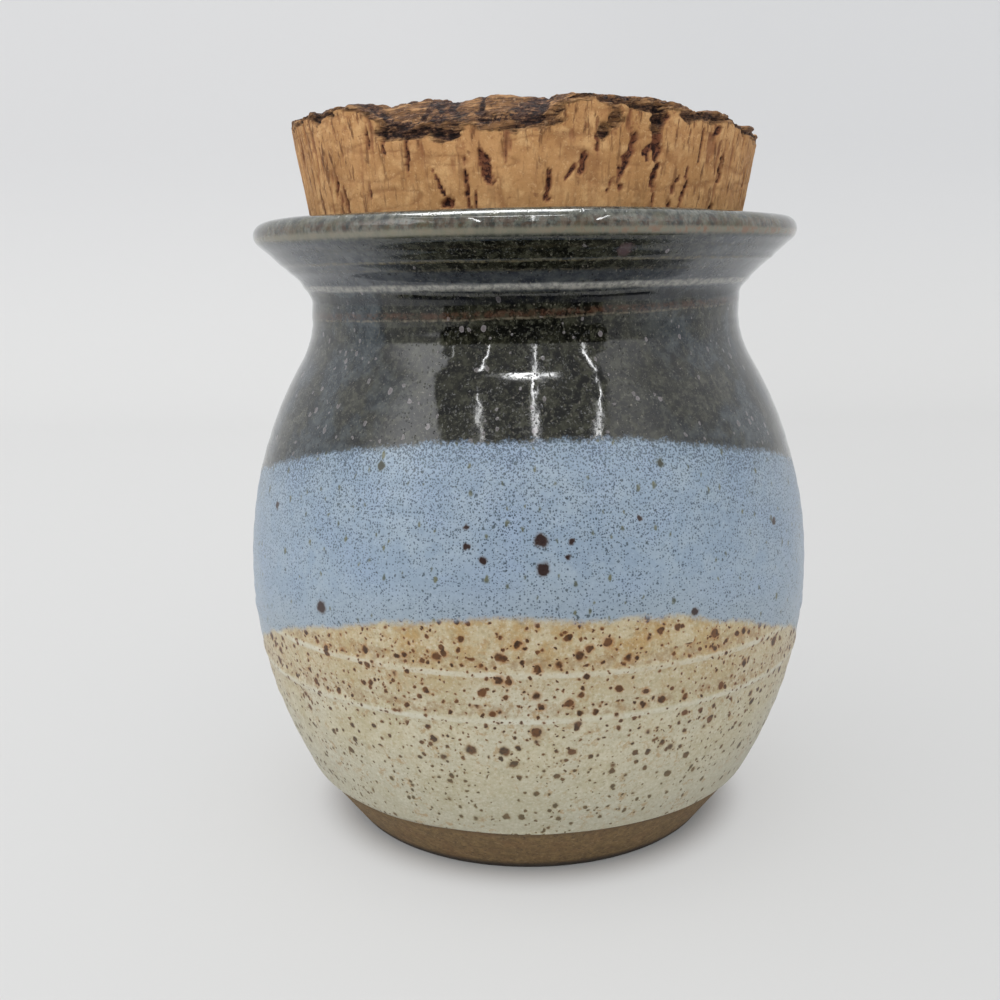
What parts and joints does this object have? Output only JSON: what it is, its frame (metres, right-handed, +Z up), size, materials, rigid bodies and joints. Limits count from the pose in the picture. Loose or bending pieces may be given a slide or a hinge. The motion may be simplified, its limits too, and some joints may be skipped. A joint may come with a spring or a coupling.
{
  "type": "stoneware jar with cork lid",
  "caption": "Thrown stoneware jar with a rounded belly, narrow neck and flared mouth, closed by a tapered cork stopper with bark on top.",
  "frame": {"origin": "centre of the foot, on the surface the jar stands on", "axes": "+Z up along the axis of the jar, out of its mouth; -Y towards the shown side"},
  "size_m": [0.1162, 0.1162, 0.1426],
  "materials": {
    "glazed_stoneware": "gloss",
    "natural_cork": "matt"
  },
  "bodies": {
    "root": {"jar": "glazed_stoneware", "cork_lid": "natural_cork"}
  },
  "joints": []
}
